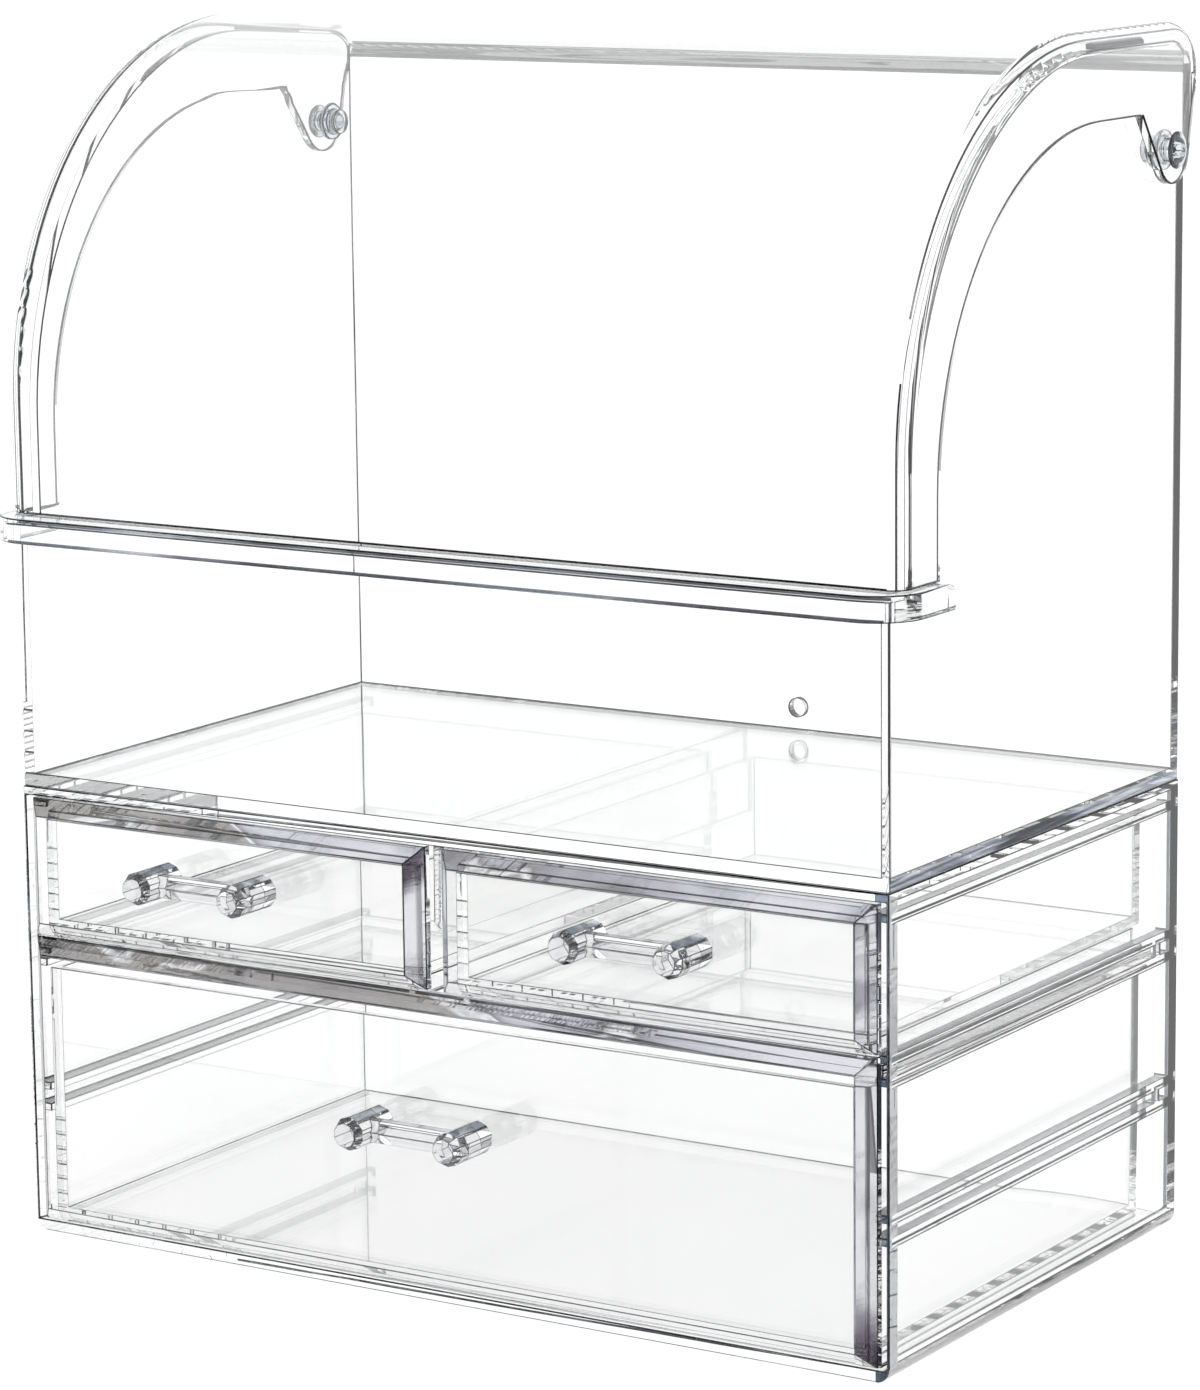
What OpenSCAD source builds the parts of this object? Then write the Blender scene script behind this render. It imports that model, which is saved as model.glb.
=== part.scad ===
// Dustproof makeup organizer: a clear drawer case with two drawers over one wide drawer, a display
// tray on top of it, and a curved clear hood that swings up and back on two side pins.
// X runs to the right, Y to the back and Z up. The origin is the centre of the case's underside.

/* [Case] */
// Width of the case and of the tray, from side to side
case_w = 240; // [210:1:270]
// Depth of the case and of the tray, from front to back
case_d = 143.2; // [130:0.1:160]
// Thickness of the case's side and back walls
case_wall = 2.5; // [2.2:0.1:3]
// Thickness of the case's bottom
case_floor = 2.8; // [2.4:0.1:3.4]
// Thickness of the case's top panel
case_top = 2.2; // [1.8:0.1:3]
// Rounding outside along the case's long bottom edges
case_round = 3.5; // [2.5:0.1:5]
// Rounding inside along the case's long bottom edges
case_inner_round = 3; // [1:0.1:3.5]
// Height of the lower drawer's space, from the case's bottom to the shelf
lower_bay_h = 66.4; // [60:0.2:74]
// Height of the upper drawers' space, from the shelf to the top panel
upper_bay_h = 37.1; // [34:0.1:44]
// Depth of the tapered lead-in inside the case's mouth
lead_in_d = 5.5; // [4:0.1:8]
// Side wall that the lead-in leaves at the mouth
lead_in_wall = 0.7; // [0.6:0.1:1.2]

/* [Ribs, shelf and divider] */
// Height of one rib on the inside of a side wall
rib_h = 2; // [1.5:0.1:2.4]
// How far a rib stands out from the side wall
rib_out = 3.5; // [2.5:0.1:5]
// Thickness of the shelf between the drawers
shelf_t = 3; // [2.4:0.1:3.6]
// Play over the shelf in its groove
shelf_play = 0.3; // [0.1:0.05:0.5]
// Gap between the shelf's side edge and the case's side wall
shelf_side_gap = 0.3; // [0.1:0.05:0.6]
// Length of the web that closes a groove behind the shelf
groove_web_l = 2; // [1:0.5:4]
// Rounding of the shelf's rear corners
shelf_corner_r = 3; // [1:0.5:6]
// Height of the spare groove's lower side above the case's bottom
spare_groove_up = 29.9; // [20:0.1:34]
// Distance from the top panel down to the underside of the single top rib
top_rib_down = 5; // [3:0.1:7]
// Thickness of the divider between the upper drawers
divider_t = 3; // [2:0.1:4]
// How far the divider hangs down from the top panel
divider_h = 21.3; // [14:0.1:28]
// Rounding of the divider's lower front corner
divider_corner_r = 3; // [1:0.5:5]

/* [Drawers] */
// Gap all round a drawer front
front_gap = 0.4; // [0.3:0.05:0.6]
// Gap between the divider's side and an upper drawer front
divider_gap = 0.8; // [0.4:0.1:1.5]
// Height of the lower front's top edge above the shelf
front_lap = 2.3; // [1:0.1:3]
// Thickness of a front at its rim, inside the case's mouth
front_rim_t = 2; // [1.5:0.1:3]
// Width and depth of the bevel round a front
front_bevel = 3.7; // [2:0.1:5]
// Gap between a front and the rib ends that stop it
stop_gap = 0.3; // [0.1:0.05:0.5]
// Gap between a drawer box and the ribs beside it
box_rib_gap = 1.1; // [0.6:0.1:2]
// Thickness of a drawer box's walls
box_wall = 2.2; // [1.8:0.1:3]
// Thickness of a drawer box's bottom
box_floor = 2; // [1.5:0.1:3]
// Room left behind a closed drawer
box_rear_room = 7.1; // [4:0.1:12]
// Room between an upper drawer box's top edge and the top panel
upper_box_top_gap = 5.3; // [2:0.1:8]
// Room between the lower drawer box's top edge and the shelf
lower_box_top_gap = 2; // [1:0.1:6]
// Height of the shelf's runners, which carry the upper drawers over the lower front's top edge
runner_h = 4.5; // [3.5:0.1:6]
// Height of the skids under the lower drawer box
skid_h = 1.4; // [1:0.1:4]
// Running gap under a drawer
run_gap = 0.3; // [0.1:0.05:0.4]

/* [Handles] */
// Distance between the middles of a handle's two posts
post_spacing = 27.5; // [20:0.1:40]
// Size of a post, from corner to corner
post_d = 8.1; // [6.5:0.1:10]
// Number of sides of a post
post_sides = 10; // [8:2:12]
// Length of a post in front of the drawer front
post_l = 14.5; // [14:0.5:20]
// Length of the tapered end of a post
post_taper = 2; // [0.5:0.1:3]
// How much the taper takes off a post all round
post_taper_in = 1.1; // [0.3:0.1:1.5]
// Height of the six-sided bar between the posts
bar_h = 5.4; // [4:0.1:6]
// Depth of the bar, from its front edge to its rear edge
bar_d = 5; // [4:0.1:5.4]
// Depth of the bar's sloping sides, at the front and behind
bar_slope = 1.3; // [0.8:0.1:1.8]
// Distance from a post's front end to the bar's front edge
bar_back = 5.2; // [3:0.1:5.4]
// Height of an upper handle's middle above the middle of its front
upper_handle_up = 2.3; // [0:0.1:6]
// Height of the lower handle's middle above the middle of its front
lower_handle_up = 4; // [0:0.1:12]

/* [Display tray] */
// Thickness of the tray's walls
tray_wall = 2.5; // [2.2:0.1:3]
// Thickness of the tray's floor
tray_floor = 2.8; // [2:0.1:4]
// Height of the tray's front wall
tray_front_h = 64.5; // [50:0.5:75]
// Height of the tray's side walls
tray_side_h = 177; // [165:0.5:190]
// How far the side walls' front edges stand back above the front wall
side_set_back = 8.1; // [7:0.1:12]
// Radius of the side walls' large front corner
side_arc_r = 88.5; // [80:0.5:92]
// Radius of the side walls' top rear corner
side_rear_r = 10; // [9:0.5:14]
// Rounding of the tray's four upright corners
tray_corner_r = 1; // [0.5:0.1:2]
// Diameter of the small hole in the back wall
vent_d = 4.5; // [3:0.1:8]
// Distance of the small hole from the tray's middle, to the right
vent_x = 15.8; // [-80:0.1:80]
// Height of the small hole's middle above the tray's floor
vent_up = 5.5; // [4:0.1:20]
// Seating gap between pieces that rest on each other
seat_gap = 0.05; // [0.02:0.01:0.1]

/* [Stop pads] */
// Length of a stop pad
pad_l = 25; // [15:1:35]
// Width of a stop pad
pad_w = 2.3; // [1.6:0.1:2.4]
// Height of a stop pad
pad_h = 1.5; // [1:0.1:1.6]
// Chamfer along a stop pad's outer top edge
pad_chamfer = 0.9; // [0.6:0.1:1]
// Distance from the tray's back face to a stop pad's rear end
pad_from_back = 24.6; // [20:0.1:34]

/* [Hood] */
// Thickness of the hood
hood_t = 2.4; // [2:0.1:3]
// Gap between the hood and the tray at each side, and inside the rim at the front
hood_gap = 0.6; // [0.5:0.05:1]
// How far the hood's front stands behind the tray's front face
hood_front_in = 1; // [0.5:0.1:2]
// Gap between the hood and the tray's back face
hood_back_gap = 1; // [0.8:0.1:1.5]
// Gap between the hood's top and the tray's side walls
hood_lift = 2.1; // [2:0.1:3]
// Outer radius of the hood's large front curve
hood_arc_r = 89; // [85:0.5:92]
// Outer radius of the hood's top rear corner
hood_rear_r = 11.5; // [10:0.5:13]
// Outer radius of the hood's side edges
hood_edge_r = 5; // [4.5:0.1:5.2]
// Width of the side flanges along the hood's front
flange_front_w = 17; // [14:0.5:20]
// Width of the side flanges along the hood's top
flange_top_w = 20.5; // [17:0.5:24]
// Radius of the side flanges' inner front corner
flange_arc_r = 76; // [66:0.5:80]
// Height of the skirt that hangs behind the tray, from the hood's top down
skirt_h = 12.5; // [12:0.1:13]
// How far the flanges' rear corners stand forward of the hood's back face
flange_rear_in = 5; // [4:0.1:6]

/* [Hood rim] */
// Thickness of the grip rim, outside the tray's front and side walls
rim_t = 5.4; // [4.6:0.1:7]
// How far the rim laps down over the tray's front wall
rim_lap = 4.2; // [2:0.1:8]
// Thickness of the rim's web, which carries the hood's front over the wall
rim_web_t = 1.6; // [1.2:0.1:3]
// Gap between the rim's web and the top of the tray's front wall
rim_web_gap = 0.3; // [0.2:0.05:0.5]
// How far the rim's ends run on behind the flanges' inner edges
rim_past_flange = 1.5; // [0.5:0.1:4]
// Rounding of the rim's front corners, seen from above
rim_corner_r = 12; // [9:0.5:16]
// Rounding of the rim's rear ends, seen from the side
rim_end_r = 3; // [1:0.5:4]

/* [Hinge] */
// Distance from the tray's back face forward to the hinge axis
hinge_from_back = 11.6; // [11.2:0.1:12.4]
// Distance from the hood's top down to the hinge axis
hinge_down = 29.5; // [28:0.5:32]
// Radius of the ears round the hinge pins
ear_r = 8; // [7:0.1:8.4]
// Distance from the hinge axis forward to where an ear leaves the flange
ear_front = 16.5; // [14:0.5:22]
// Diameter of a hinge pin's shank
pin_d = 5; // [4.5:0.1:5.6]
// Running gap round the shank in the ear, on the radius
pin_run_gap = 0.08; // [0.04:0.01:0.1]
// Gap round the shank in the tray's wall, on the radius
pin_fit_gap = 0.03; // [0.02:0.01:0.05]
// Diameter of a pin's domed head
head_d = 8.8; // [7.5:0.1:11]
// Height of a pin's domed head
head_h = 1.8; // [1.2:0.1:2.4]
// Height of the straight part under the dome
head_edge = 0.6; // [0.3:0.1:1]
// Gap between the head and the ear
head_gap = 0.3; // [0.1:0.05:0.5]
// Diameter of a pin's tail, inside the tray
tail_d = 4; // [3:0.1:4.4]
// Length of a pin's tail, inside the tray
tail_l = 2.5; // [1.5:0.1:4]
// Diameter of the cap's flange on a pin's tail
cap_d = 9.6; // [8:0.1:12]
// Thickness of the cap's flange
cap_flange_t = 1.2; // [0.8:0.1:1.6]
// Diameter of the cap's boss
cap_boss_d = 6.6; // [6:0.1:8]
// Plastic left at the closed end of the cap
cap_end_t = 1; // [0.6:0.1:1.6]

/* [Hidden] */
$fn = 96;

// A cut runs this far past the face that it opens
past = 1;

// Case: sides, inside faces and levels
half_w = case_w / 2;
half_d = case_d / 2;
bay_half_w = half_w - case_wall;
shelf_z = case_floor + lower_bay_h;
shelf_top_z = shelf_z + shelf_t;
panel_z = shelf_top_z + upper_bay_h;
case_h = panel_z + case_top;
groove_h = shelf_t + shelf_play;

// Drawers: the front's back face, the rib ends that stop it, and the boxes behind it
front_back_y = -half_d + front_rim_t;
front_face_y = -half_d - front_bevel;
rib_front_y = front_back_y + stop_gap;
front_half_w = bay_half_w - front_gap;
front_inner_x = divider_t / 2 + divider_gap;
upper_front_x = (front_half_w + front_inner_x) / 2;
upper_front_w = front_half_w - front_inner_x;
lower_front_z = case_floor + front_gap;
lower_front_top = shelf_top_z + front_lap;
upper_front_z = lower_front_top + front_gap;
upper_front_top = panel_z - front_gap;
upper_front_mid = (upper_front_z + upper_front_top) / 2;
lower_front_mid = (lower_front_z + lower_front_top) / 2;
box_front_y = front_back_y + seat_gap;
box_rear_y = half_d - case_wall - box_rear_room;
box_inset = rib_out + box_rib_gap - front_gap;
shelf_rear_y = box_rear_y;
upper_box_x0 = front_inner_x + box_inset;
box_x1 = front_half_w - box_inset;
upper_box_z = shelf_top_z + runner_h + run_gap;
lower_box_z = case_floor + run_gap + skid_h;

// Display tray and hood, from the tray's base upwards
tray_z = case_h + seat_gap;
tray_front_z = tray_z + tray_front_h;
tray_side_z = tray_z + tray_side_h;
side_front_y = -half_d + side_set_back;
side_arc_y = side_front_y + side_arc_r;
side_arc_z = tray_side_z - side_arc_r;
hood_top_z = tray_side_z + hood_lift + hood_t;
hood_front_y = -half_d + hood_front_in;
hood_back_y = half_d + hood_back_gap + hood_t;
hood_half_w = half_w + hood_gap + hood_t;
hood_arc_y = hood_front_y + hood_arc_r;
hood_arc_z = hood_top_z - hood_arc_r;
hood_rear_arc_y = hood_back_y - hood_rear_r;
hood_rear_arc_z = hood_top_z - hood_rear_r;
flange_inner_y = hood_front_y + flange_front_w;
flange_inner_z = hood_top_z - flange_top_w;
flange_arc_y = flange_inner_y + flange_arc_r;
flange_arc_z = flange_inner_z - flange_arc_r;
rim_z = tray_front_z - rim_lap;
rim_web_z = tray_front_z + rim_web_gap;
rim_top_z = rim_web_z + rim_web_t;
rim_front_y = -half_d - hood_gap - rim_t;
rim_rear_y = flange_inner_y + rim_past_flange;
rim_half_w = half_w + hood_gap + rim_t;

// Hinge
hinge_y = half_d - hinge_from_back;
hinge_z = hood_top_z - hinge_down;
pin_head_x = hood_half_w + head_gap;
tray_inner_x = half_w - tray_wall;

// The point where a line from p touches a circle, on the side that turn gives
function touch_point(p, c, r, turn) =
    let (v = p - c, start = atan2(v[1], v[0]), swing = acos(r / norm(v)))
    c + r * [cos(start + turn * swing), sin(start + turn * swing)];

// Lays a side view, drawn as Y and Z, across the width w
module across(w) {
    rotate([90, 0, 90]) linear_extrude(w, center = true) children();
}

// Lays a front view, drawn as X and Z, from the plane y = from to the plane y = to
module along(from, to) {
    translate([0, to, 0]) rotate([90, 0, 0]) linear_extrude(to - from) children();
}

// A rectangle, given by its corners
module area(x0, y0, x1, y1) {
    translate([x0, y0]) square([x1 - x0, y1 - y0]);
}

// A box, given by its corners
module block(low, high) {
    translate(low) cube(high - low);
}

// A rectangle with its two corners at y0 rounded
module area_round_low(x0, y0, x1, y1, r) {
    area(x0 + r, y0, x1 - r, y0 + r);
    area(x0, y0 + r, x1, y1);
    for (x = [x0 + r, x1 - r]) translate([x, y0 + r]) circle(r);
}

// Keeps a piece on the right, or its mirror image on the left
module on_side(side) {
    mirror([side < 0 ? 1 : 0, 0, 0]) children();
}

// Case: the open-front moulding
module case_walls() {
    difference() {
        along(-half_d, half_d) area_round_low(-half_w, 0, half_w, case_h, case_round);
        along(-half_d - past, half_d - case_wall)
            area_round_low(-bay_half_w, case_floor, bay_half_w, panel_z, case_inner_round);
        block([-bay_half_w, -half_d - past, case_floor], [bay_half_w, rib_front_y, panel_z]);
        for (side = [-1, 1]) on_side(side) lead_in();
    }
}

// Case: the taper that guides a drawer front into the mouth
module lead_in() {
    translate([0, 0, case_floor]) linear_extrude(panel_z - case_floor) polygon([
        [bay_half_w - past, -half_d + lead_in_d],
        [bay_half_w, -half_d + lead_in_d],
        [half_w - lead_in_wall, -half_d],
        [half_w - lead_in_wall, -half_d - past],
        [bay_half_w - past, -half_d - past]]);
}

// Case: one rib along the right side wall, with its underside at z
module rib(z) {
    block([bay_half_w - rib_out, rib_front_y, z], [half_w - case_wall / 2, half_d - past, z + rib_h]);
}

// Case: two ribs and the web that closes the groove between them
module groove(z) {
    rib(z - rib_h);
    rib(z + groove_h);
    block([bay_half_w - rib_out, shelf_rear_y + seat_gap, z - rib_h],
        [half_w - case_wall / 2, shelf_rear_y + seat_gap + groove_web_l, z + groove_h + rib_h]);
}

module case_shell() {
    color([0.86, 0.9, 0.93, 0.35]) {
        case_walls();
        for (side = [-1, 1]) on_side(side) {
            groove(case_floor + spare_groove_up);
            groove(shelf_z - seat_gap);
            rib(panel_z - top_rib_down);
        }
    }
}

// Shelf: the plate in the middle grooves, with a runner under each side wall of the upper boxes
module middle_shelf() {
    shelf_half_w = bay_half_w - shelf_side_gap;
    color([0.86, 0.9, 0.93, 0.35]) {
        translate([0, 0, shelf_z]) linear_extrude(shelf_t) mirror([0, 1])
            area_round_low(-shelf_half_w, -shelf_rear_y, shelf_half_w, -rib_front_y, shelf_corner_r);
        for (side = [-1, 1], x = [upper_box_x0, box_x1 - box_wall]) on_side(side)
            block([x, rib_front_y, shelf_z + shelf_t / 2],
                [x + box_wall, shelf_rear_y - shelf_corner_r, shelf_top_z + runner_h]);
    }
}

module centre_divider() {
    bottom = panel_z - divider_h;
    color([0.86, 0.9, 0.93, 0.35]) across(divider_t) {
        area(rib_front_y, bottom + divider_corner_r, half_d - case_wall - seat_gap, panel_z - seat_gap);
        area(rib_front_y + divider_corner_r, bottom,
            half_d - case_wall - seat_gap, panel_z - seat_gap);
        translate([rib_front_y + divider_corner_r, bottom + divider_corner_r])
            circle(divider_corner_r);
    }
}

// Drawers: an open box from x0 to x1, with its underside at z
module drawer_box(x0, x1, z, top_z) {
    color([0.86, 0.9, 0.93, 0.35]) difference() {
        block([x0, box_front_y, z], [x1, box_rear_y, top_z]);
        block([x0 + box_wall, box_front_y + box_wall, z + box_floor],
            [x1 - box_wall, box_rear_y - box_wall, top_z + past]);
    }
}

// Drawers: a front plate with a plain rim behind and a bevel in front, all round
module drawer_front(x, w, z0, z1) {
    color([0.86, 0.9, 0.93, 0.35]) intersection() {
        translate([x, 0, 0]) across(w) polygon([
            [front_back_y, z0], [-half_d, z0], [front_face_y, z0 + front_bevel],
            [front_face_y, z1 - front_bevel], [-half_d, z1], [front_back_y, z1]]);
        translate([x, 0, z0]) linear_extrude(z1 - z0) polygon([
            [-w / 2, front_back_y], [-w / 2, -half_d], [-w / 2 + front_bevel, front_face_y],
            [w / 2 - front_bevel, front_face_y], [w / 2, -half_d], [w / 2, front_back_y]]);
    }
}

// Handles: one faceted post, from the front plate forward to its tapered end
module handle_post() {
    body_l = post_l - post_taper;
    rotate([90, 0, 0]) rotate([0, 0, 180 / post_sides]) {
        cylinder(h = body_l, d = post_d, $fn = post_sides);
        translate([0, 0, body_l]) cylinder(h = post_taper, d1 = post_d,
            d2 = post_d - 2 * post_taper_in, $fn = post_sides);
    }
}

// Handles: two posts and the bar between them, in one moulding
module drawer_handle(x, z) {
    front_y = -post_l + bar_back;
    rear_y = front_y + bar_d;
    color([0.88, 0.91, 0.94, 0.4]) translate([x, front_face_y - seat_gap, z]) {
        for (side = [-1, 1]) translate([side * post_spacing / 2, 0, 0]) handle_post();
        across(post_spacing) polygon([
            [front_y, 0], [front_y + bar_slope, -bar_h / 2], [rear_y - bar_slope, -bar_h / 2],
            [rear_y, 0], [rear_y - bar_slope, bar_h / 2], [front_y + bar_slope, bar_h / 2]]);
    }
}

module upper_box(side) {
    on_side(side) drawer_box(upper_box_x0, box_x1, upper_box_z, panel_z - upper_box_top_gap);
}

module upper_left_box() {
    upper_box(-1);
}

module upper_right_box() {
    upper_box(1);
}

// Drawers: the lower box, on two skids that run on the case's bottom
module lower_box() {
    drawer_box(-box_x1, box_x1, lower_box_z, shelf_z - lower_box_top_gap);
    color([0.86, 0.9, 0.93, 0.35]) for (side = [-1, 1]) on_side(side)
        block([box_x1 - box_wall, box_front_y, lower_box_z - skid_h],
            [box_x1, box_rear_y, lower_box_z + box_floor]);
}

module upper_left_front() {
    drawer_front(-upper_front_x, upper_front_w, upper_front_z, upper_front_top);
}

module upper_right_front() {
    drawer_front(upper_front_x, upper_front_w, upper_front_z, upper_front_top);
}

module lower_front() {
    drawer_front(0, 2 * front_half_w, lower_front_z, lower_front_top);
}

module upper_left_handle() {
    drawer_handle(-upper_front_x, upper_front_mid + upper_handle_up);
}

module upper_right_handle() {
    drawer_handle(upper_front_x, upper_front_mid + upper_handle_up);
}

module lower_handle() {
    drawer_handle(0, lower_front_mid + lower_handle_up);
}

// Tray: its outline seen from the side, with the low front wall and the high rounded side walls
module tray_side_view() {
    side_rear_y = half_d - side_rear_r;
    area(-half_d, tray_z, half_d, tray_front_z);
    area(side_front_y, tray_z, half_d, side_arc_z);
    intersection() {
        translate([side_arc_y, side_arc_z]) circle(side_arc_r, $fn = 180);
        area(side_front_y, side_arc_z, side_arc_y, tray_side_z);
    }
    area(side_arc_y, tray_z, side_rear_y, tray_side_z);
    area(side_arc_y, tray_z, half_d, tray_side_z - side_rear_r);
    translate([side_rear_y, tray_side_z - side_rear_r]) circle(side_rear_r);
}

// Tray: its outline seen from above, with small round corners
module tray_plan() {
    area(-half_w + tray_corner_r, -half_d, half_w - tray_corner_r, half_d);
    area(-half_w, -half_d + tray_corner_r, half_w, half_d - tray_corner_r);
    for (x = [-1, 1], y = [-1, 1])
        translate([x * (half_w - tray_corner_r), y * (half_d - tray_corner_r)])
            circle(tray_corner_r);
}

module display_tray() {
    tray_inner_y = half_d - tray_wall;
    color([0.86, 0.9, 0.93, 0.35]) difference() {
        intersection() {
            across(case_w + 2 * past) tray_side_view();
            translate([0, 0, tray_z]) linear_extrude(tray_side_h + past) tray_plan();
        }
        block([-tray_inner_x, -tray_inner_y, tray_z + tray_floor],
            [tray_inner_x, tray_inner_y, tray_side_z + past]);
        translate([0, hinge_y, hinge_z]) rotate([0, 90, 0])
            cylinder(h = case_w + 2 * past, r = pin_d / 2 + pin_fit_gap, center = true);
        translate([vent_x, half_d + past, tray_z + tray_floor + vent_up]) rotate([90, 0, 0])
            cylinder(h = tray_wall + 2 * past, d = vent_d);
    }
}

// Stop pads: on the tops of the side walls, under the closed hood
module stop_block(side) {
    top = tray_side_z + seat_gap + pad_h;
    outer = tray_inner_x + pad_w;
    rear = half_d - pad_from_back;
    color([0.5, 0.53, 0.57, 0.6]) on_side(side) along(rear - pad_l, rear) polygon([
        [tray_inner_x, tray_side_z + seat_gap], [outer, tray_side_z + seat_gap],
        [outer, top - pad_chamfer], [outer - pad_chamfer, top], [tray_inner_x, top]]);
}

module stop_block_left() {
    stop_block(-1);
}

module stop_block_right() {
    stop_block(1);
}

// Hood: half of its section, from the middle of a curve out to the radius r, with round edges
module hood_section(r, half, edge) {
    area(0, -half + edge, r, half - edge);
    area(0, -half, r - edge, half);
    for (y = [edge - half, half - edge]) translate([r - edge, y]) circle(edge);
}

// Hood: the full body that its outside bounds, or its inside where inset is the thickness
module hood_body(inset, bottom_z) {
    half = hood_half_w - inset;
    edge = hood_edge_r - inset;
    arc = hood_arc_r - inset;
    rear = hood_rear_r - inset;
    translate([0, hood_arc_y, hood_arc_z]) rotate([0, 90, 0]) rotate([0, 0, 180])
        rotate_extrude(angle = 90, $fn = 180) hood_section(arc, half, edge);
    translate([0, hood_arc_y, bottom_z]) rotate([0, 0, -90])
        linear_extrude(hood_arc_z - bottom_z) hood_section(arc, half, edge);
    translate([0, hood_arc_y, hood_arc_z]) rotate([-90, -90, 0])
        linear_extrude(hood_rear_arc_y - hood_arc_y) hood_section(arc, half, edge);
    translate([0, hood_rear_arc_y, hood_rear_arc_z]) rotate([0, 90, 0]) rotate([0, 0, 90])
        rotate_extrude(angle = 90) hood_section(rear, half, edge);
    translate([0, hood_rear_arc_y, bottom_z]) rotate([0, 0, 90])
        linear_extrude(hood_rear_arc_z - bottom_z) hood_section(rear, half, edge);
}

// Hood: what a side view keeps of it, which is the sheet, its side flanges and the hinge ears
module hood_side_view() {
    hinge = [hinge_y, hinge_z];
    ear_start = [hinge_y - ear_front, flange_inner_z];
    flange_end = [hood_back_y - flange_rear_in, flange_inner_z];
    skirt_z = hood_top_z - skirt_h;
    difference() {
        area(hood_front_y - past, rim_top_z + seat_gap, hood_back_y + past, hood_top_z + past);
        area(flange_inner_y, rim_z, hood_back_y + 2 * past, flange_arc_z);
        intersection() {
            translate([flange_arc_y, flange_arc_z]) circle(flange_arc_r, $fn = 180);
            area(flange_inner_y, flange_arc_z - past, flange_arc_y + past, flange_inner_z);
        }
        area(flange_arc_y, rim_z, hood_back_y + 2 * past, flange_inner_z);
        polygon([flange_end - [0, past], flange_end, [hood_back_y - hood_t, skirt_z],
            [hood_back_y + 2 * past, skirt_z], [hood_back_y + 2 * past, flange_inner_z - past]]);
    }
    polygon([ear_start + [0, past], ear_start, touch_point(ear_start, hinge, ear_r, 1), hinge,
        touch_point(flange_end, hinge, ear_r, -1), flange_end, flange_end + [0, past]]);
    translate(hinge) circle(ear_r);
}

module hood_shell() {
    color([0.86, 0.9, 0.93, 0.35]) difference() {
        intersection() {
            difference() {
                hood_body(0, rim_z);
                hood_body(hood_t, rim_z - past);
            }
            across(case_w + 4 * hood_t) hood_side_view();
        }
        translate([0, hinge_y, hinge_z]) rotate([0, 90, 0])
            cylinder(h = case_w + 4 * hood_t, r = pin_d / 2 + pin_run_gap, center = true);
    }
}

// Hood rim: seen from above, less an inside that starts at inner_y and has rounded corners
module rim_plan(inner_y, inner_r) {
    inner_x = half_w + hood_gap;
    difference() {
        area_round_low(-rim_half_w, rim_front_y, rim_half_w, rim_rear_y, rim_corner_r);
        area_round_low(-inner_x, inner_y, inner_x, rim_rear_y + past, inner_r);
    }
}

// Hood rim: seen from the side, with the top of its rear ends rounded
module rim_side_view() {
    end_y = rim_rear_y - rim_end_r;
    area(rim_front_y - past, rim_z - past, end_y, rim_top_z + past);
    area(rim_front_y - past, rim_z - past, rim_rear_y, rim_top_z - rim_end_r);
    translate([end_y, rim_top_z - rim_end_r]) circle(rim_end_r);
}

// Hood rim: a lip outside the tray's front wall, and the web over it that carries the hood
module hood_rim() {
    color([0.86, 0.9, 0.93, 0.35]) intersection() {
        union() {
            translate([0, 0, rim_z]) linear_extrude(rim_top_z - rim_z)
                rim_plan(-half_d - hood_gap, tray_corner_r + hood_gap);
            translate([0, 0, rim_web_z]) linear_extrude(rim_top_z - rim_web_z)
                rim_plan(hood_front_y + hood_t, hood_edge_r - hood_t);
        }
        across(2 * rim_half_w + 2 * past) rim_side_view();
    }
}

// Hinge: a domed pin from outside, through the ear and the tray's wall
module hinge_pin(side) {
    dome_h = head_h - head_edge;
    dome_r = (pow(head_d / 2, 2) + pow(dome_h, 2)) / (2 * dome_h);
    color([0.62, 0.65, 0.69, 0.6]) on_side(side) translate([0, hinge_y, hinge_z])
        rotate([0, 90, 0]) {
            translate([0, 0, tray_inner_x - tail_l]) cylinder(h = tail_l + past, d = tail_d);
            translate([0, 0, tray_inner_x])
                cylinder(h = pin_head_x - tray_inner_x + head_edge / 2, d = pin_d);
            translate([0, 0, pin_head_x]) cylinder(h = head_edge, d = head_d);
            translate([0, 0, pin_head_x + head_edge]) rotate_extrude() intersection() {
                translate([0, dome_h - dome_r]) circle(dome_r);
                square([head_d / 2, dome_h]);
            }
        }
}

// Hinge: the cap that holds the pin's tail, against the tray wall's inner face
module hinge_cap(side) {
    flange_x = tray_inner_x - seat_gap;
    bore_end = tray_inner_x - tail_l - 2 * seat_gap;
    color([0.8, 0.83, 0.86, 0.5]) on_side(side) translate([0, hinge_y, hinge_z])
        rotate([0, 90, 0]) difference() {
            union() {
                translate([0, 0, flange_x - cap_flange_t]) cylinder(h = cap_flange_t, d = cap_d);
                translate([0, 0, bore_end - cap_end_t])
                    cylinder(h = flange_x - bore_end + cap_end_t, d = cap_boss_d);
            }
            translate([0, 0, bore_end])
                cylinder(h = flange_x - bore_end + past, r = tail_d / 2 + pin_fit_gap);
        }
}

module hinge_pin_left() {
    hinge_pin(-1);
}

module hinge_pin_right() {
    hinge_pin(1);
}

module hinge_cap_left() {
    hinge_cap(-1);
}

module hinge_cap_right() {
    hinge_cap(1);
}

case_shell();
middle_shelf();
centre_divider();
display_tray();
stop_block_left();
stop_block_right();
hood_shell();
hood_rim();
hinge_pin_left();
hinge_pin_right();
hinge_cap_left();
hinge_cap_right();
upper_left_box();
upper_left_front();
upper_left_handle();
upper_right_box();
upper_right_front();
upper_right_handle();
lower_box();
lower_front();
lower_handle();
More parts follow.
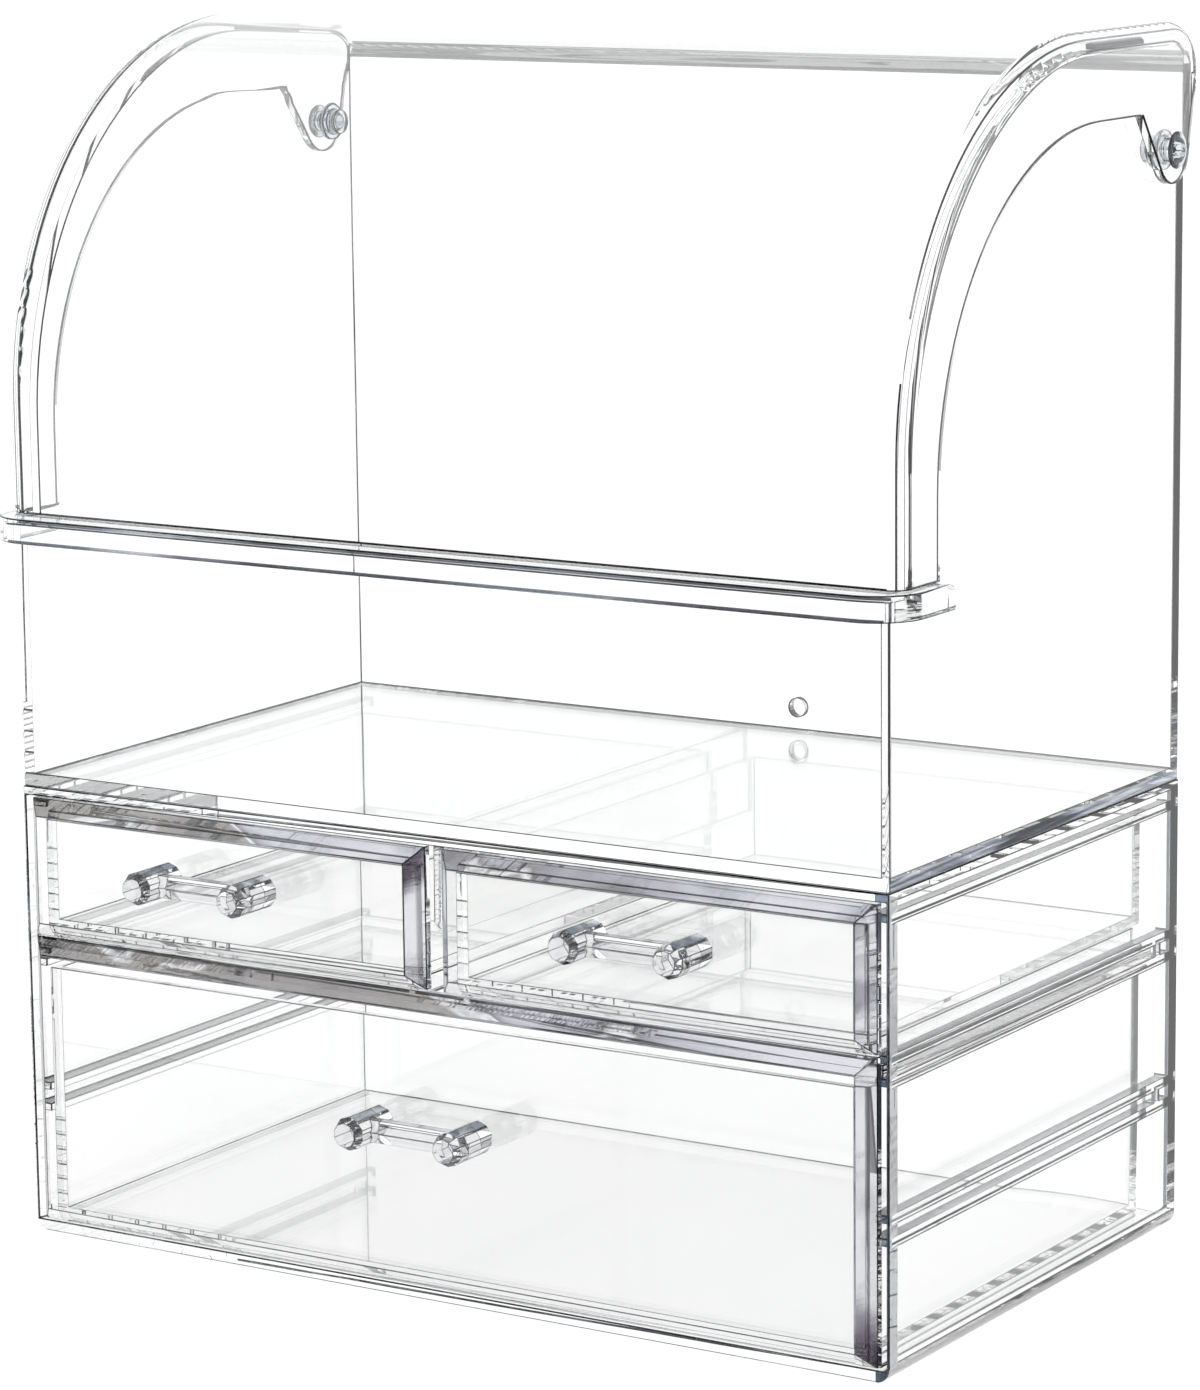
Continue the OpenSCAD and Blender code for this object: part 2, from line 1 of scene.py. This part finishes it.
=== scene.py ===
import math
import bmesh
import bpy
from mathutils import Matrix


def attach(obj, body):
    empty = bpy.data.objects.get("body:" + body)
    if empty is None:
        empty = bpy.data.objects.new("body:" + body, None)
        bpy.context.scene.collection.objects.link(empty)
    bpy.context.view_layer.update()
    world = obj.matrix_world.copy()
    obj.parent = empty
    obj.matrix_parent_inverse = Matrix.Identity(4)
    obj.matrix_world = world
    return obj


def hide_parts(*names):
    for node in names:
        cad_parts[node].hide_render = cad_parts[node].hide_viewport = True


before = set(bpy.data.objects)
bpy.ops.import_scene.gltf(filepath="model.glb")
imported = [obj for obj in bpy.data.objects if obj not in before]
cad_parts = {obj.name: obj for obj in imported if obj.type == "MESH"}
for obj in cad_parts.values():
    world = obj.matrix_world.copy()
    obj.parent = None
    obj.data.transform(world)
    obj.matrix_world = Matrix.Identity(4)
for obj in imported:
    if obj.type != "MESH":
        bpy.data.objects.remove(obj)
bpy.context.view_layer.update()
scene = bpy.context.scene


# The camera. It stands at the photograph's angle, in front, to the right and a little above, with a
# long lens, and its frame is taken as 1200 by 1390.
camera_data = bpy.data.cameras.new("camera")
camera_data.sensor_fit = "VERTICAL"
camera_data.sensor_height = 36.0
camera_data.lens = 131.79
camera_data.clip_end = 60.0
camera = bpy.data.objects.new("camera", camera_data)
camera.location = (0.6468, -1.0165, 0.3600)
camera.rotation_euler = (1.38446, 0.01133, 0.56414)
scene.collection.objects.link(camera)
scene.camera = camera


# The studio. A bright white room stands round the object. It is darker low down on the camera's
# side, which draws the dark lines in clear plastic, and a little lighter again on the left.
room = bpy.data.worlds.new("room")
room.use_nodes = True
scene.world = room
tree = room.node_tree
tree.nodes.clear()
direction = tree.nodes.new("ShaderNodeTexCoord")
split = tree.nodes.new("ShaderNodeSeparateXYZ")
tree.links.new(direction.outputs["Generated"], split.inputs["Vector"])


def lit_towards(axis, dark_end, bright_end, most=1.0):
    fade = tree.nodes.new("ShaderNodeMapRange")
    fade.interpolation_type = "SMOOTHSTEP"
    fade.inputs["From Min"].default_value = dark_end
    fade.inputs["From Max"].default_value = bright_end
    fade.inputs["To Max"].default_value = most
    tree.links.new(split.outputs[axis], fade.inputs["Value"])
    return fade.outputs["Result"]


def brighter_of(one, other):
    pick = tree.nodes.new("ShaderNodeMath")
    pick.operation = "MAXIMUM"
    tree.links.new(one, pick.inputs[0])
    tree.links.new(other, pick.inputs[1])
    return pick.outputs["Value"]


behind_or_above = brighter_of(lit_towards("Y", -0.95, 0.15), lit_towards("Z", 0.15, 0.75))
brightness = brighter_of(behind_or_above, lit_towards("X", -0.15, -0.55, most=0.55))
light = tree.nodes.new("ShaderNodeMixRGB")
light.inputs["Color1"].default_value = (0.030, 0.028, 0.030, 1.0)
light.inputs["Color2"].default_value = (1.09, 1.09, 1.09, 1.0)
glow = tree.nodes.new("ShaderNodeBackground")
out = tree.nodes.new("ShaderNodeOutputWorld")
tree.links.new(brightness, light.inputs["Fac"])
tree.links.new(light.outputs["Color"], glow.inputs["Color"])
tree.links.new(glow.outputs["Background"], out.inputs["Surface"])


# How the light is followed. Clear walls behind clear walls need many bounces, and the limit on
# glossy ones, which counts reflections inside a wall, stands in for the plastic's absorption.
scene.view_settings.view_transform = "Standard"
scene.cycles.max_bounces = 64
scene.cycles.transmission_bounces = 64
scene.cycles.glossy_bounces = 36
scene.cycles.diffuse_bounces = 2
scene.cycles.transparent_max_bounces = 32
scene.cycles.sample_clamp_indirect = 6.0


# The table. It is a plain white round top that runs out to the horizon, a hair below the case's
# base, and it glows a little so that it stays white under the object.
table_radius = 25.0
gap_under_case = 0.0006
table_mesh = bpy.data.meshes.new("table")
bm = bmesh.new()
bmesh.ops.create_circle(bm, cap_ends=True, segments=64, radius=table_radius)
bm.to_mesh(table_mesh)
bm.free()
table = bpy.data.objects.new("table", table_mesh)
table.location = (0.0, 0.0, -gap_under_case)
scene.collection.objects.link(table)
table_white = bpy.data.materials.new("table_white")
table_white.use_nodes = True
paint = table_white.node_tree.nodes["Principled BSDF"]
paint.inputs["Base Color"].default_value = (0.22, 0.22, 0.22, 1.0)
paint.inputs["Roughness"].default_value = 0.9
paint.inputs["Specular IOR Level"].default_value = 0.0
paint.inputs["Emission Color"].default_value = (1.0, 1.0, 1.0, 1.0)
paint.inputs["Emission Strength"].default_value = 0.98
table_mesh.materials.append(table_white)


# The drawer case. It is one open-front moulding of water-clear polystyrene with ribs inside its
# side walls. Faint flow marks ripple its faces, and its small moulded edge radii draw thin lines,
# partly by bending the light and partly by painted dark shade with light streaks on them.
smear_shade = (0.985, 0.988, 0.992)


def clear_plastic(name, tint, ripple, ripple_size, film):
    material = bpy.data.materials.new(name)
    material.use_nodes = True
    nodes, links = material.node_tree.nodes, material.node_tree.links
    shader = nodes["Principled BSDF"]
    shader.inputs["Transmission Weight"].default_value = 1.0
    shader.inputs["IOR"].default_value = 1.56
    place = nodes.new("ShaderNodeTexCoord")
    flow = nodes.new("ShaderNodeTexNoise")
    flow.inputs["Scale"].default_value = ripple_size
    flow.inputs["Detail"].default_value = 2.0
    flow.inputs["Distortion"].default_value = 0.6
    bump = nodes.new("ShaderNodeBump")
    bump.inputs["Strength"].default_value = ripple
    bump.inputs["Distance"].default_value = 0.0004
    smear = nodes.new("ShaderNodeTexNoise")
    smear.inputs["Scale"].default_value = 26.0
    smear.inputs["Detail"].default_value = 5.0
    haze = nodes.new("ShaderNodeMapRange")
    haze.inputs["From Min"].default_value = 0.5
    haze.inputs["From Max"].default_value = 0.8
    haze.inputs["To Max"].default_value = film
    smeared = [value * shade for value, shade in zip(tint, smear_shade)]
    colour = nodes.new("ShaderNodeMixRGB")
    colour.inputs["Color1"].default_value = (*tint, 1.0)
    colour.inputs["Color2"].default_value = (*smeared, 1.0)
    links.new(place.outputs["Object"], flow.inputs["Vector"])
    links.new(place.outputs["Object"], smear.inputs["Vector"])
    links.new(flow.outputs["Fac"], bump.inputs["Height"])
    links.new(bump.outputs["Normal"], shader.inputs["Normal"])
    links.new(smear.outputs["Fac"], haze.inputs["Value"])
    links.new(haze.outputs["Result"], shader.inputs["Roughness"])
    links.new(smear.outputs["Fac"], colour.inputs["Fac"])
    links.new(colour.outputs["Color"], shader.inputs["Base Color"])
    return material


# Edges and bevels show the room bent into dark and light streaks, painted into their colour as
# painted shade and painted reflection, and gloss darkens their reflections. Each stop is a height
# of the noise and the shade it gets, drift shifts the noise along the width, and through is the
# share of light that is let through.
def painted_streaks(name, stops, stretch, gloss=0.2, drift=0.0, through=1.0):
    material = clear_plastic(name, tint=(1.0, 1.0, 1.0), ripple=0.05, ripple_size=12.0, film=0.01)
    nodes, links = material.node_tree.nodes, material.node_tree.links
    shader = nodes["Principled BSDF"]
    shader.inputs["Specular Tint"].default_value = (gloss, gloss, gloss, 1.0)
    shader.inputs["Transmission Weight"].default_value = through
    place = nodes["Texture Coordinate"]
    squeeze = nodes.new("ShaderNodeMapping")
    squeeze.inputs["Scale"].default_value = stretch
    streaks = nodes.new("ShaderNodeTexNoise")
    streaks.inputs["Scale"].default_value = 1.0
    streaks.inputs["Detail"].default_value = 3.0
    streaks.inputs["Distortion"].default_value = 0.8
    across = nodes.new("ShaderNodeSeparateXYZ")
    slide = nodes.new("ShaderNodeMath")
    slide.operation = "MULTIPLY_ADD"
    slide.inputs[1].default_value = drift
    shades = nodes.new("ShaderNodeValToRGB")
    points = shades.color_ramp.elements
    points[0].position, points[0].color = stops[0][0], (*stops[0][1], 1.0)
    points[1].position, points[1].color = stops[-1][0], (*stops[-1][1], 1.0)
    for position, shade in stops[1:-1]:
        points.new(position).color = (*shade, 1.0)
    links.new(place.outputs["Object"], squeeze.inputs["Vector"])
    links.new(squeeze.outputs["Vector"], streaks.inputs["Vector"])
    links.new(place.outputs["Object"], across.inputs["Vector"])
    links.new(across.outputs["X"], slide.inputs[0])
    links.new(streaks.outputs["Fac"], slide.inputs[2])
    links.new(slide.outputs["Value"], shades.inputs["Fac"])
    links.new(shades.outputs["Color"], shader.inputs["Base Color"])
    return material


# Corners of a CAD mesh nearer than weld become one, and so do faces that turn less than level.
# Rounding leaves no edge under smallest_edge. Shading runs on over a turn below roundest_step, but
# not into an edge strip, nor from a face into one far_larger times its size. Angles are in degrees.
weld = 1e-6
smallest_edge = 2e-6
level = 0.3
roundest_step = 15.0
far_larger = 60


def shades_smoothly(edge):
    one, other = edge.link_faces
    turn = math.degrees(edge.calc_face_angle())
    beside_strip = (one.material_index == 1) != (other.material_index == 1)
    smaller, larger = sorted((one.calc_area(), other.calc_area()))
    beside_flat = turn > level and larger > far_larger * smaller
    return turn < roundest_step and not beside_strip and not beside_flat


# A moulded piece is a merged copy of its CAD node with rounded edges, and the rounded strips take
# the painted edge material of dark and light streaks. Edges that turn less than sharp degrees, or
# are no longer than shortest, stay as they are. With shortest as None, short ones are rounded too,
# by as much as there is room for. The others are painted shade and reflection, each with its faces.
def moulded(node, body, radius, clear, painted_edge, sharp=28.0, shortest=0.0012, others=(),
            cuts=(), left_sharp=lambda edge: False):
    bm = bmesh.new()
    bm.from_mesh(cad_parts[node].data)
    bmesh.ops.remove_doubles(bm, verts=bm.verts, dist=weld)
    bmesh.ops.dissolve_limit(bm, angle_limit=math.radians(level), verts=bm.verts, edges=bm.edges)
    for point, normal in cuts:
        bmesh.ops.bisect_plane(bm, geom=bm.verts[:] + bm.edges[:] + bm.faces[:], dist=weld,
                               plane_co=point, plane_no=normal)
    edges = [e for e in bm.edges if len(e.link_faces) == 2 and e.calc_length() > (shortest or 0.0)
             and e.calc_face_angle() > math.radians(sharp) and not left_sharp(e)]
    rounded = bmesh.ops.bevel(bm, geom=edges, offset=radius, offset_type="OFFSET", segments=2,
                              profile=0.5, affect="EDGES", clamp_overlap=shortest is None,
                              material=-1)
    for face in bm.faces:
        face.smooth = True
        face.material_index = 0
        for number, (_, chosen) in enumerate(others, 2):
            if chosen(face):
                face.material_index = number
    for face in rounded["faces"]:
        face.material_index = 1
    bmesh.ops.dissolve_degenerate(bm, dist=smallest_edge, edges=bm.edges)
    for edge in bm.edges:
        if len(edge.link_faces) == 2:
            edge.smooth = shades_smoothly(edge)
    mesh = bpy.data.meshes.new(node + "_moulded")
    bm.to_mesh(mesh)
    bm.free()
    for material in (clear, painted_edge, *(painted_material for painted_material, _ in others)):
        mesh.materials.append(material)
    piece = bpy.data.objects.new(node + "_moulded", mesh)
    scene.collection.objects.link(piece)
    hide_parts(node)
    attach(piece, body)


# The right wall's end gets painted blue-grey reflection and shade, and the ribs' sides painted dark
# shade with lighter streaks. A face counts as looking squarely, slantwise or barely slantwise along
# an axis when that part of its normal is over the number given.
case_half_width = 0.120
case_front = -0.0716
wall_end_from = case_half_width - 0.0035
lead_in_before = case_front + 0.0076
ribs_from = case_half_width - 0.012
ribs_low, ribs_high = 0.008, 0.108
squarely, slantwise, barely_slantwise = 0.9, 0.6, 0.5
case_radius = 0.0003
case_clear = clear_plastic("case_clear", (0.981, 0.982, 0.979), ripple=0.10, ripple_size=9.0,
                           film=0.010)
# The case's rounded edges get painted dark shade with lighter streaks.
case_edge = painted_streaks("case_edge", [(0.40, (0.0004, 0.0005, 0.0008)),
                                   (0.56, (0.008, 0.010, 0.014)),
                                   (0.70, (0.14, 0.17, 0.20))],
                     stretch=(28.0, 28.0, 28.0), through=0.7)
wall_end = painted_streaks("wall_end", [(0.40, (0.010, 0.020, 0.034)),
                                 (0.52, (0.045, 0.075, 0.115)),
                                 (0.70, (0.18, 0.26, 0.34))],
                    stretch=(8.0, 8.0, 22.0), through=0.45)
rib_side = painted_streaks("rib_side", [(0.38, (0.03, 0.035, 0.04)), (0.62, (0.30, 0.32, 0.34))],
                    stretch=(40.0, 10.0, 40.0), gloss=0.25)


def is_right_wall_end(face):
    middle = face.calc_center_median()
    on_lead_in = middle.y < lead_in_before and face.normal.x < -barely_slantwise
    return middle.x > wall_end_from and (face.normal.y < -slantwise or on_lead_in)


def is_rib_side(face):
    middle = face.calc_center_median()
    among_ribs = abs(middle.x) > ribs_from and ribs_low < middle.z < ribs_high
    return among_ribs and abs(face.normal.z) > squarely


moulded("case_shell", "cabinet", case_radius, case_clear, case_edge,
        others=[(wall_end, is_right_wall_end), (rib_side, is_rib_side)],
        cuts=[((x, 0.0, 0.0), (1.0, 0.0, 0.0)) for x in (wall_end_from, -wall_end_from)])


# The shelf and the divider. Both are plates of clear polystyrene. The shelf slides into the case's
# middle grooves and carries the upper drawers on runners, and the short divider hangs from the
# case's top between them.
# Their rounded edges take the case's painted dark shade lines.
for plate in ("middle_shelf", "centre_divider"):
    moulded(plate, "cabinet", case_radius, case_clear, case_edge)


# The display tray. It is one clear moulding that stands on the case, with a low front wall, tall
# sides and back, and an air hole. The lowest strip of each side, at its floor's end, is painted
# blue-grey with dark and light streaks, a painted reflection, and its rounded edges get painted
# dark lines.
floor_line = 0.1142
tray_radius = 0.00028
tray_clear = clear_plastic("tray_clear", (0.990, 0.991, 0.991), ripple=0.10, ripple_size=8.0,
                           film=0.012)
tray_edge = painted_streaks("tray_edge", [(0.42, (0.0003, 0.0003, 0.0005)),
                                   (0.58, (0.006, 0.007, 0.009)),
                                   (0.72, (0.14, 0.16, 0.18))],
                     stretch=(20.0, 20.0, 20.0), through=0.5)
floor_side = painted_streaks("floor_side", [(0.40, (0.006, 0.009, 0.020)), (0.48, (0.055, 0.070, 0.115)),
                                     (0.56, (0.34, 0.38, 0.46)), (0.66, (0.80, 0.83, 0.88))],
                      stretch=(30.0, 22.0, 460.0), through=0.45)


def is_floor_side(face):
    return abs(face.normal.x) > squarely and face.calc_center_median().z < floor_line


moulded("display_tray", "cabinet", tray_radius, tray_clear, tray_edge, shortest=0.0,
        others=[(floor_side, is_floor_side)], cuts=[((0.0, 0.0, floor_line), (0.0, 0.0, 1.0))])


# The stop pads. Two small smoky pads of soft clear plastic are stuck to the tops of the tray's
# side walls, and the closed hood comes down over them.
pad_radius = 0.00015
pad_smoky = clear_plastic("pad_smoky", (0.010, 0.013, 0.020), ripple=0.3, ripple_size=60.0,
                          film=0.10)
# The pads' rounded edges get painted dark shade with lighter streaks of painted reflection.
pad_edge = painted_streaks("pad_edge", [(0.35, (0.001, 0.001, 0.002)), (0.65, (0.30, 0.33, 0.38))],
                    stretch=(90.0, 90.0, 90.0))
for side in ("left", "right"):
    moulded("stop_block_" + side, "cabinet", pad_radius, pad_smoky, pad_edge,
            shortest=None)


# The hood. It is a thin curved sheet of moulded clear plastic with side flanges and hinge ears.
# Its bends and its rear end get painted dark shade with light streaks, and the rear end a narrow
# bright painted highlight, as they are what draws its outline. Its rounded edges get painted dark
# lines. A face's lean is the sideways part of the way it looks.
hood_half_width = 0.123
left_bend_from = hood_half_width - 0.013
least_inner_lean, most_inner_lean = 0.52, 0.66
least_outer_lean, most_outer_lean = 0.60, 0.93
rear_end_from = 0.28
inner_corner = (0.119, 0.073, 0.281)
corner_reach = 0.0015
hood_radius = 0.00038
hood_clear = clear_plastic("hood_clear", (0.990, 0.991, 0.992), ripple=0.14, ripple_size=7.0,
                           film=0.012)
hood_edge = painted_streaks("hood_edge", [(0.46, (0.0001, 0.0001, 0.0001)),
                                   (0.60, (0.004, 0.0045, 0.005)),
                                   (0.74, (0.06, 0.07, 0.08))],
                     stretch=(14.0, 14.0, 14.0), through=0.3)
hood_bend = painted_streaks("hood_bend", [(0.42, (0.001, 0.001, 0.002)),
                                   (0.54, (0.010, 0.011, 0.014)),
                                   (0.64, (0.80, 0.82, 0.85))],
                     stretch=(16.0, 16.0, 16.0), through=0.3)
hood_end = painted_streaks("hood_end", [(0.46, (0.0005, 0.0005, 0.001)),
                                 (0.50, (0.05, 0.055, 0.06)),
                                 (0.52, (0.95, 0.95, 0.96))],
                    stretch=(9.0, 9.0, 1400.0), through=0.2)


def is_bend(face):
    across, lean = face.calc_center_median().x, face.normal.x
    looks_in = len(face.verts) == 4 and across * lean < 0.0
    on_inner_bend = looks_in and least_inner_lean < abs(lean) < most_inner_lean
    on_left_bend = across < -left_bend_from and least_outer_lean < -lean < most_outer_lean
    return on_inner_bend or on_left_bend


def is_rear_end(face):
    return face.normal.y > squarely and face.calc_center_median().z > rear_end_from


# Edges that start or end where the rear end, the bend and the flange meet inside aren't rounded,
# because the mesh would cross itself there.
def is_at_inner_corner(edge):
    places = ((abs(vertex.co.x), vertex.co.y, vertex.co.z) for vertex in edge.verts)
    return any(all(abs(value - corner) < corner_reach for value, corner in zip(place, inner_corner))
               for place in places)


moulded("hood_shell", "hood", hood_radius, hood_clear, hood_edge, sharp=40.0,
        shortest=0.0006, others=[(hood_bend, is_bend), (hood_end, is_rear_end)],
        left_sharp=is_at_inner_corner)


# The hood's rim. A thicker clear strip is cemented across the hood's front and round its corners,
# and a hand lifts the hood by it.
rim_radius = 0.00035
# The rim's rounded edges get painted dark shade with lighter streaks.
rim_edge = painted_streaks("rim_edge", [(0.40, (0.002, 0.003, 0.005)), (0.54, (0.03, 0.04, 0.055)),
                                 (0.70, (0.40, 0.45, 0.52))],
                    stretch=(16.0, 16.0, 16.0), through=0.8)
moulded("hood_rim", "hood", rim_radius, hood_clear, rim_edge)


# The hinge. On each side a domed snap pin of clear plastic goes through the hood's ear and the
# tray's wall, and a cap holds its tail inside.
pin_radius = 0.00025
pin_clear = clear_plastic("pin_clear", (0.72, 0.75, 0.79), ripple=0.3, ripple_size=120.0, film=0.08)
# The pins' and caps' rounded edges get painted dark shade with lighter streaks.
pin_edge = painted_streaks("pin_edge", [(0.40, (0.002, 0.002, 0.003)), (0.62, (0.12, 0.13, 0.15))],
                    stretch=(150.0, 150.0, 150.0), through=0.15)
for side in ("left", "right"):
    for part in ("hinge_pin_", "hinge_cap_"):
        moulded(part + side, "cabinet", pin_radius, pin_clear, pin_edge, shortest=None)


# The drawers' boxes. Each is an open box moulded in clear plastic, cemented to the back of its
# front, and the lower one stands on skids.
drawers = ("upper_left", "upper_right", "lower")
box_radius = 0.00022
drawer_clear = clear_plastic("drawer_clear", (0.985, 0.985, 0.981), ripple=0.12, ripple_size=9.0,
                             film=0.012)
# The boxes' and fronts' rounded edges get painted dark shade with lighter streaks.
drawer_edge = painted_streaks("drawer_edge", [(0.38, (0.001, 0.0012, 0.0015)),
                                       (0.54, (0.020, 0.023, 0.028)),
                                       (0.70, (0.24, 0.26, 0.29))],
                       stretch=(24.0, 24.0, 24.0))
for drawer in drawers:
    moulded(drawer + "_box", drawer + "_drawer", box_radius, drawer_clear,
            drawer_edge)


# The drawers' fronts. Each is a thick moulded plate of clear plastic with a wide bevel all round.
# The bevels get painted reflection and shade: brown-grey to lavender on top, near black on the
# right, blue on the left, and the fronts' rounded edges get painted dark lines.
front_radius = 0.0002
front_clear = clear_plastic("front_clear", (0.945, 0.946, 0.944), ripple=0.10, ripple_size=12.0,
                            film=0.008)
top_bevel = painted_streaks("top_bevel", [(0.36, (0.16, 0.15, 0.15)), (0.44, (0.20, 0.185, 0.17)),
                                   (0.462, (0.86, 0.87, 0.93)), (0.484, (0.12, 0.11, 0.12)),
                                   (0.54, (0.30, 0.30, 0.38)), (0.64, (0.62, 0.63, 0.72))],
                     stretch=(16.0, 34.0, 34.0), drift=1.1)
right_bevel = painted_streaks("right_bevel", [(0.40, (0.004, 0.003, 0.006)), (0.47, (0.030, 0.022, 0.034)),
                                       (0.53, (0.16, 0.15, 0.19)), (0.60, (0.60, 0.60, 0.66))],
                       stretch=(25.0, 25.0, 16.0))
left_bevel = painted_streaks("left_bevel", [(0.46, (0.003, 0.004, 0.008)), (0.53, (0.05, 0.07, 0.11)),
                                     (0.60, (0.60, 0.64, 0.70))],
                      stretch=(160.0, 160.0, 24.0), through=0.45)
bevels = [(top_bevel, lambda face: face.normal.y < -slantwise and face.normal.z > slantwise),
          (right_bevel, lambda face: face.normal.y < -slantwise and face.normal.x > slantwise),
          (left_bevel, lambda face: face.normal.y < -slantwise and face.normal.x < -slantwise)]
for drawer in drawers:
    moulded(drawer + "_front", drawer + "_drawer", front_radius, front_clear,
            drawer_edge, others=bevels)


# The handles. Each is one clear moulding of two faceted posts and a bar, fixed to its front. The
# posts' tapers get painted black shade below and on the left, their upper facets a painted
# blue-grey reflection, and their rounded edges painted dark lines.
handle_radius = 0.00012
least_facet_area = 1e-5
least_tilt, most_tilt = 0.15, 0.97
least_left, least_down, least_up = 0.35, 0.55, 0.7
handle_clear = clear_plastic("handle_clear", (0.955, 0.960, 0.970), ripple=0.05, ripple_size=80.0,
                             film=0.01)
handle_edge = painted_streaks("handle_edge", [(0.36, (0.006, 0.006, 0.008)), (0.64, (0.22, 0.23, 0.26))],
                       stretch=(120.0, 120.0, 120.0), through=0.3)
facet_dark = painted_streaks("facet_dark", [(0.40, (0.0004, 0.0004, 0.0008)),
                                     (0.60, (0.015, 0.015, 0.020))],
                      stretch=(140.0, 140.0, 140.0), through=0.08)
facet_blue = painted_streaks("facet_blue", [(0.42, (0.05, 0.07, 0.10)), (0.58, (0.50, 0.52, 0.57))],
                      stretch=(140.0, 60.0, 140.0), through=0.8)


def is_dark_facet(face):
    on_taper = least_tilt < -face.normal.y < most_tilt
    looks_left_or_down = face.normal.x < -least_left or face.normal.z < -least_down
    return on_taper and looks_left_or_down


def is_blue_facet(face):
    along_post = abs(face.normal.y) < least_tilt and face.calc_area() > least_facet_area
    looks_up = face.normal.z > least_up
    return along_post and looks_up


for drawer in drawers:
    moulded(drawer + "_handle", drawer + "_drawer", handle_radius, handle_clear,
            handle_edge, shortest=None,
            others=[(facet_dark, is_dark_facet), (facet_blue, is_blue_facet)])


bpy.context.view_layer.update()
